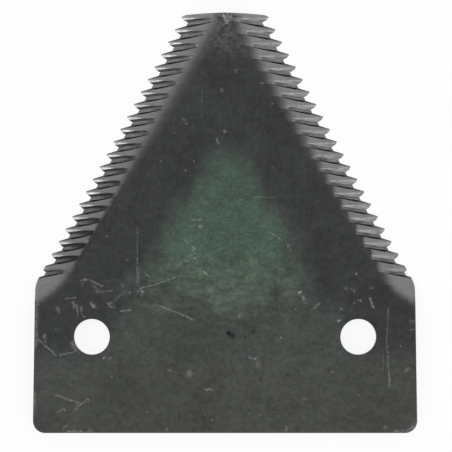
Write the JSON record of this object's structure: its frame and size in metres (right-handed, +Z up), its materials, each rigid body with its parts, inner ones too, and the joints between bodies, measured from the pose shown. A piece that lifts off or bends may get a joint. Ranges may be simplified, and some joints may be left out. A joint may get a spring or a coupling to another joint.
{
  "type": "mower sickle section",
  "caption": "Flat steel knife section for a mower cutter bar: square heel with bolt holes, tapering to a blunt tip between hollow-ground, top-serrated cutting edges.",
  "frame": {"origin": "midway between the two bolt holes, on the flat underside", "axes": "+X across the plate, +Y from the heel to the tip, +Z up, out of the ground and serrated face"},
  "size_m": [0.0762, 0.0833, 0.003],
  "materials": {
    "hardened_steel": "dark oiled steel faces with bare ground bevels"
  },
  "bodies": {
    "root": {"sickle_section": "hardened_steel"}
  },
  "joints": []
}
